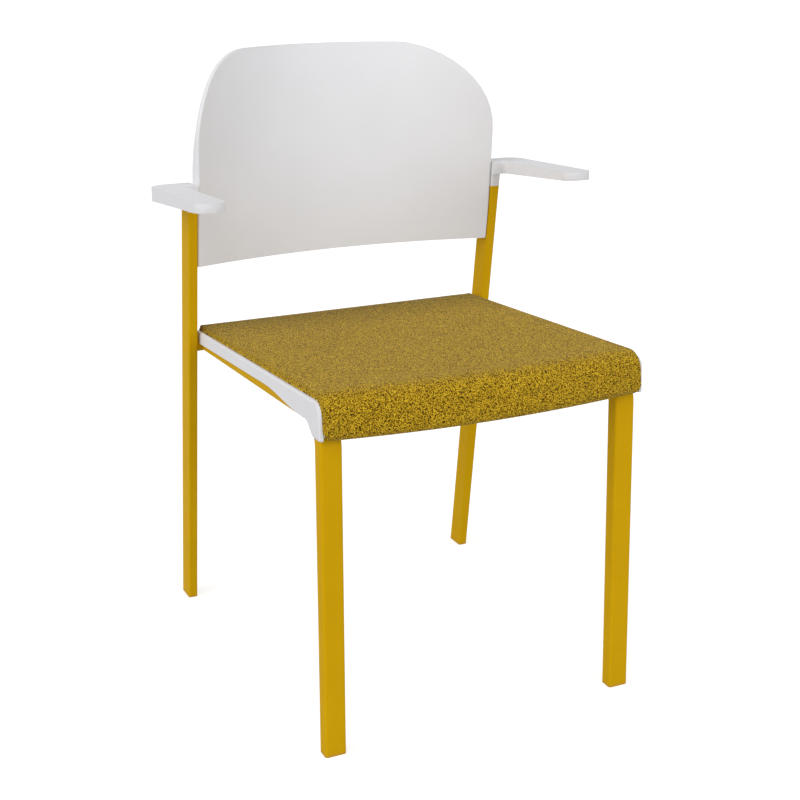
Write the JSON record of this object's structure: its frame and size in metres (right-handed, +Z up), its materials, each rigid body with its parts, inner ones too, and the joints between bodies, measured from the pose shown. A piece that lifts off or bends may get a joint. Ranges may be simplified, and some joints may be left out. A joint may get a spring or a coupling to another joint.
{
  "type": "four-legged armchair",
  "caption": "Four-legged armchair with a bent steel tube frame, a moulded seat shell with a fabric pad, a scooped moulded back and two cantilevered armrests.",
  "frame": {"origin": "on the floor, under the middle of the chair's bounding box", "axes": "+Z up, the front of the seat faces -Y, the chair is mirrored about X = 0; left is -X"},
  "size_m": [0.563, 0.5691, 0.8098],
  "materials": {
    "frame_paint": "semi-gloss powder coat, mustard yellow",
    "glide_plastic": "satin, mustard yellow like the frame",
    "shell_plastic": "fine matt grain, light grey-white",
    "seat_fabric": "woven melange, mustard yellow with dark flecks",
    "board_wood": "raw plywood",
    "screw_steel": "zinc plated"
  },
  "bodies": {
    "root": {"left_side_tube": "frame_paint", "right_side_tube": "frame_paint", "left_rear_leg": "frame_paint", "right_rear_leg": "frame_paint", "rear_cross_tube": "frame_paint", "front_cross_tube": "frame_paint", "seat_shell": "shell_plastic", "seat_board": "board_wood", "seat_pad": "seat_fabric", "back_panel": "shell_plastic", "left_armrest": "shell_plastic", "right_armrest": "shell_plastic", "left_front_glide": "glide_plastic", "right_front_glide": "glide_plastic", "left_rear_glide": "glide_plastic", "right_rear_glide": "glide_plastic", "seat_screws": "screw_steel", "board_screws": "screw_steel", "back_screws": "screw_steel"}
  },
  "joints": []
}
